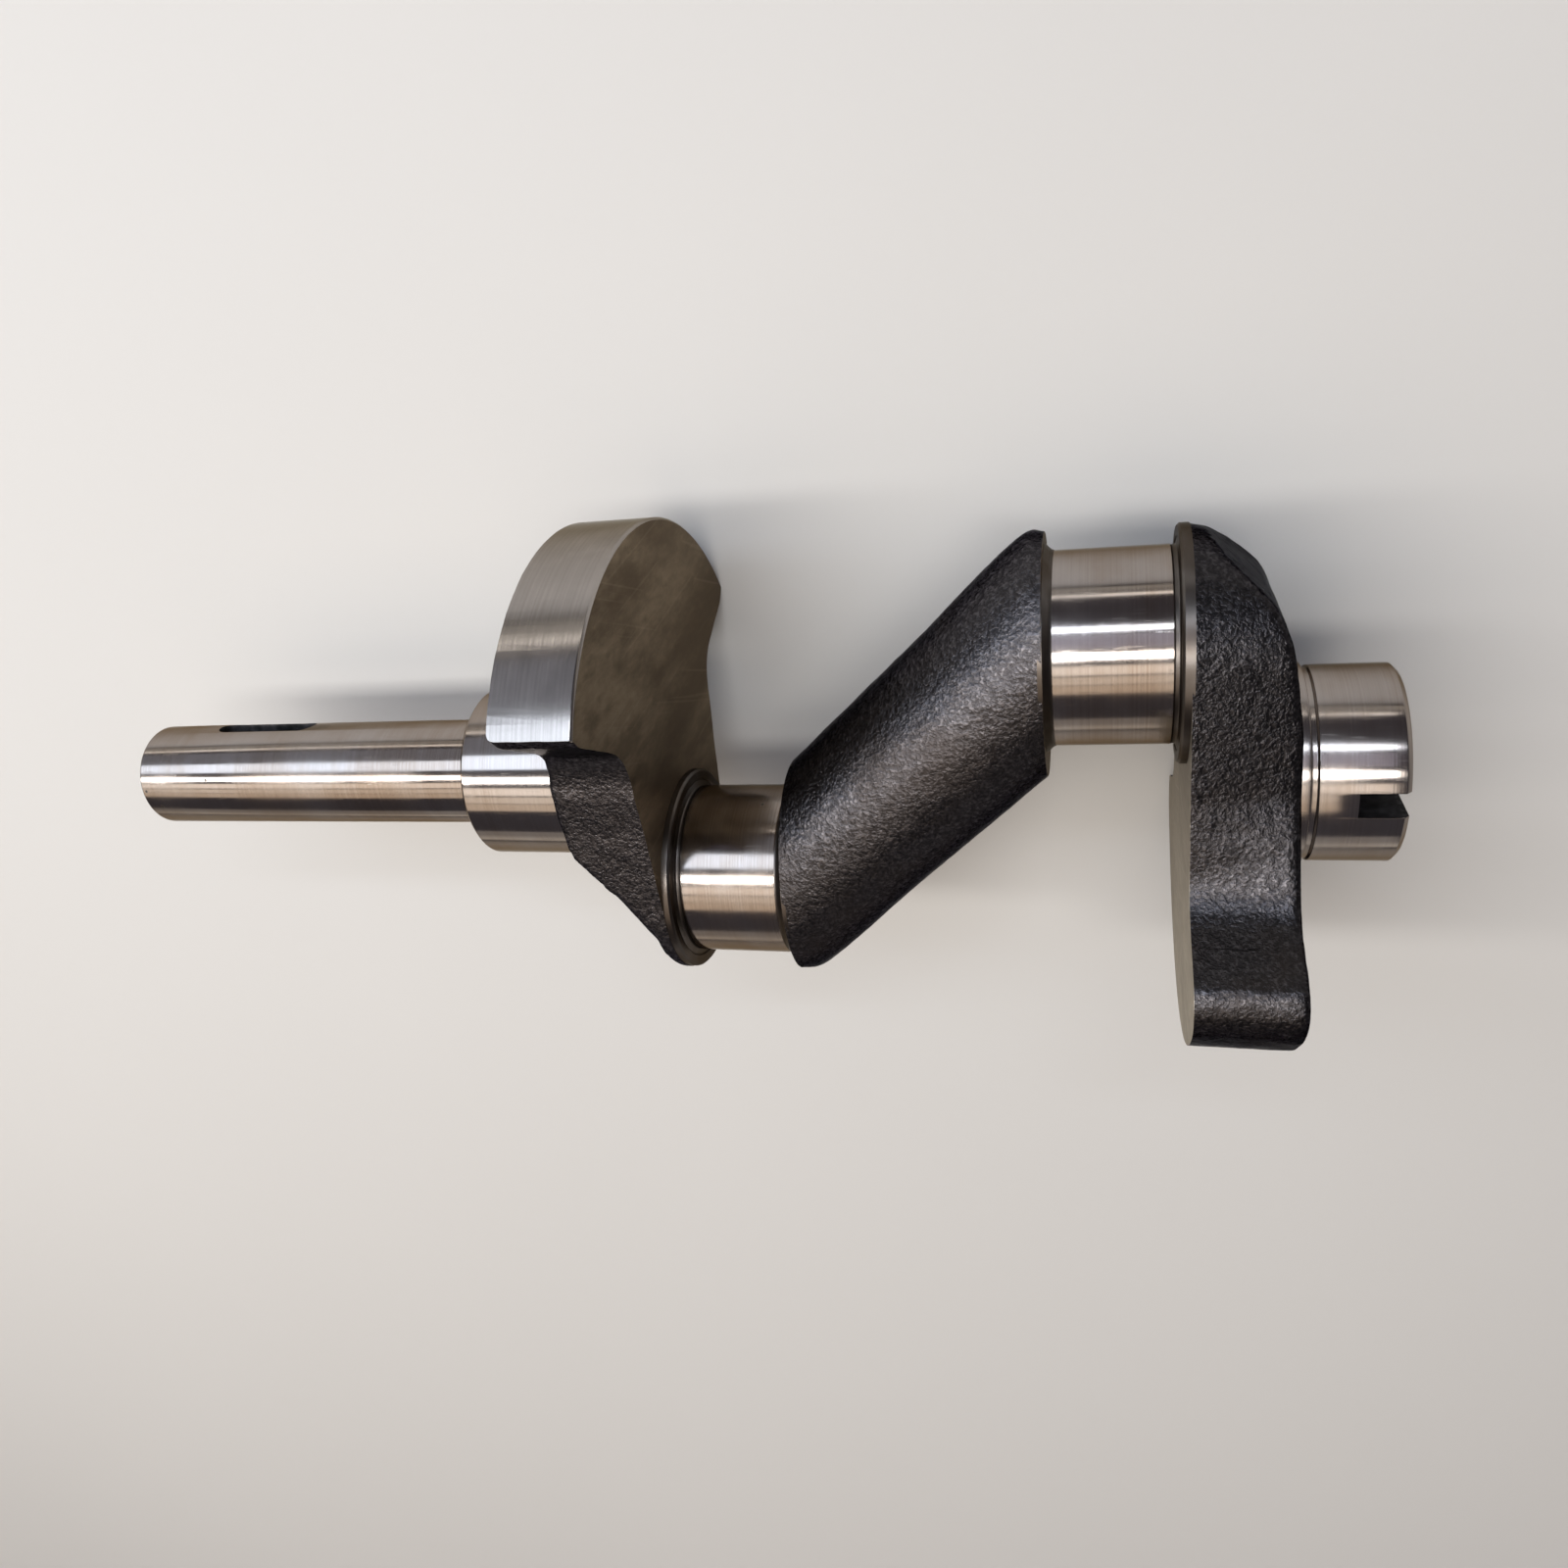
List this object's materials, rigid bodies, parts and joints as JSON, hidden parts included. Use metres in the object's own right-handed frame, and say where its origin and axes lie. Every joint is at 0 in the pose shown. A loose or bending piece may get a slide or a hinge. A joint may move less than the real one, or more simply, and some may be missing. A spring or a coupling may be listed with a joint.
{
  "type": "crankshaft",
  "caption": "Crankshaft with opposed throws, a keyed output shaft, counterweighted outer webs, a diagonal centre web and a slotted drive end.",
  "frame": {"origin": "on the rotation axis at half length, which is the centre of the bounding box", "axes": "+X along the rotation axis from the keyed output end to the slotted rear end, +Y towards the rear crankpin and the front counterweight, +Z square to the plane of the throws"},
  "size_m": [0.296, 0.116, 0.0986],
  "materials": {
    "ground_steel": "ground and polished bearing surface, fine rings round the axis",
    "turned_rim": "turned rim with fine lines round the axis, milled brown-grey face",
    "thrust_face": "machined thrust face, darkened, fine turning marks",
    "cast_skin": "near-black as-cast skin with a coarse orange-peel grain"
  },
  "bodies": {
    "root": {"output_shaft": "ground_steel", "front_main_journal": "ground_steel", "front_web": "cast_skin", "front_counterweight": "turned_rim", "front_thrust_ring": "thrust_face", "front_crankpin": "ground_steel", "centre_web": "cast_skin", "rear_crankpin": "ground_steel", "rear_thrust_ring": "thrust_face", "rear_web": "cast_skin", "rear_counterweight": "cast_skin", "rear_main_journal": "ground_steel"}
  },
  "joints": []
}
